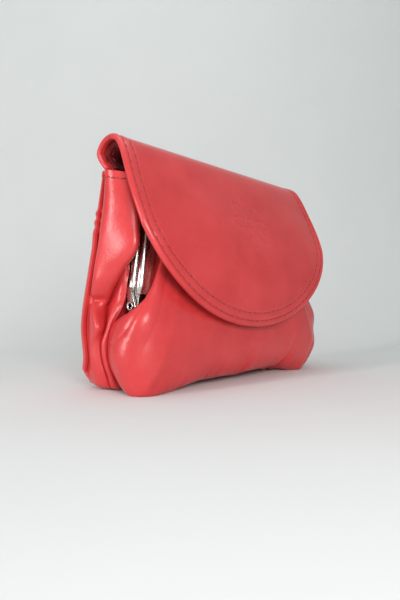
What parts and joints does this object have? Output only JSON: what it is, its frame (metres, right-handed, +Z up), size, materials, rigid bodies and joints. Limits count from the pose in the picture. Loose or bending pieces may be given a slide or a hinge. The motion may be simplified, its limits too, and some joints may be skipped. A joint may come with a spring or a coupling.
{
  "type": "coin purse",
  "caption": "Small red leather coin purse with a rounded flap, a nickel kiss-lock clasp pouch, a bellows pocket behind it and a zip pocket in the back",
  "frame": {"origin": "centre of the purse's width and depth, on the surface it stands on", "axes": "+X along the width, to the right of a person who faces the flap; +Y from the flap to the back panel; +Z up"},
  "size_m": [0.1184, 0.0391, 0.0889],
  "materials": {
    "red_leather": "smooth glossy dyed hide",
    "suede": "brushed suede flap lining",
    "nickel": "polished nickel plate",
    "lining_cloth": "plain woven lining",
    "zip_tape": "woven zip tape",
    "paper_cord": "twisted paper cord"
  },
  "bodies": {
    "purse_body": {"rear_frame": "nickel", "left_rivet": "nickel", "right_rivet": "nickel", "rear_kiss_ball": "nickel", "rear_paper_cord": "paper_cord", "front_panel": "red_leather", "clasp_back_panel": "red_leather", "clasp_front_lining": "lining_cloth", "clasp_rear_lining": "lining_cloth", "snap_socket": "nickel", "socket_washer": "nickel", "back_panel": "red_leather", "divider_panel": "red_leather", "left_gusset": "red_leather", "right_gusset": "red_leather", "upper_zip_tape": "zip_tape", "lower_zip_tape": "zip_tape", "upper_zip_teeth": "nickel", "lower_zip_teeth": "nickel", "left_zip_stop": "nickel", "right_zip_stop": "nickel", "zip_pocket_lining": "lining_cloth"},
    "flap": {"flap_outer": "red_leather", "flap_lining": "suede", "stud_washer": "nickel", "snap_stud": "nickel"},
    "front_frame_half": {"front_frame": "nickel", "front_kiss_ball": "nickel", "front_paper_cord": "paper_cord"},
    "zip_slider": {"zip_slider": "nickel"},
    "zip_pull": {"zip_pull": "nickel"}
  },
  "joints": [
    {"name": "flap_hinge", "type": "hinge", "parent": "purse_body", "child": "flap", "pos_m": [0, 0.012, 0.0776], "axis": [-1, 0, 0], "range_deg": [0, 140]},
    {"name": "clasp_hinge", "type": "hinge", "parent": "purse_body", "child": "front_frame_half", "pos_m": [0, -0.0007, 0.0295], "axis": [1, 0, 0], "range_deg": [0, 80], "deforming": ["front_panel", "clasp_front_lining"]},
    {"name": "zip_slide", "type": "slide", "parent": "purse_body", "child": "zip_slider", "axis": [-1, 0, 0], "range_m": [0, 0.066]},
    {"name": "zip_pull_hinge", "type": "hinge", "parent": "zip_slider", "child": "zip_pull", "pos_m": [0.0331, 0.01713, 0.06349], "axis": [1, 0, 0], "range_deg": [0, 120]}
  ],
  "couplings": [
    {"joint": "clasp_hinge", "follows": "flap_hinge", "ratio": 0.5}
  ]
}
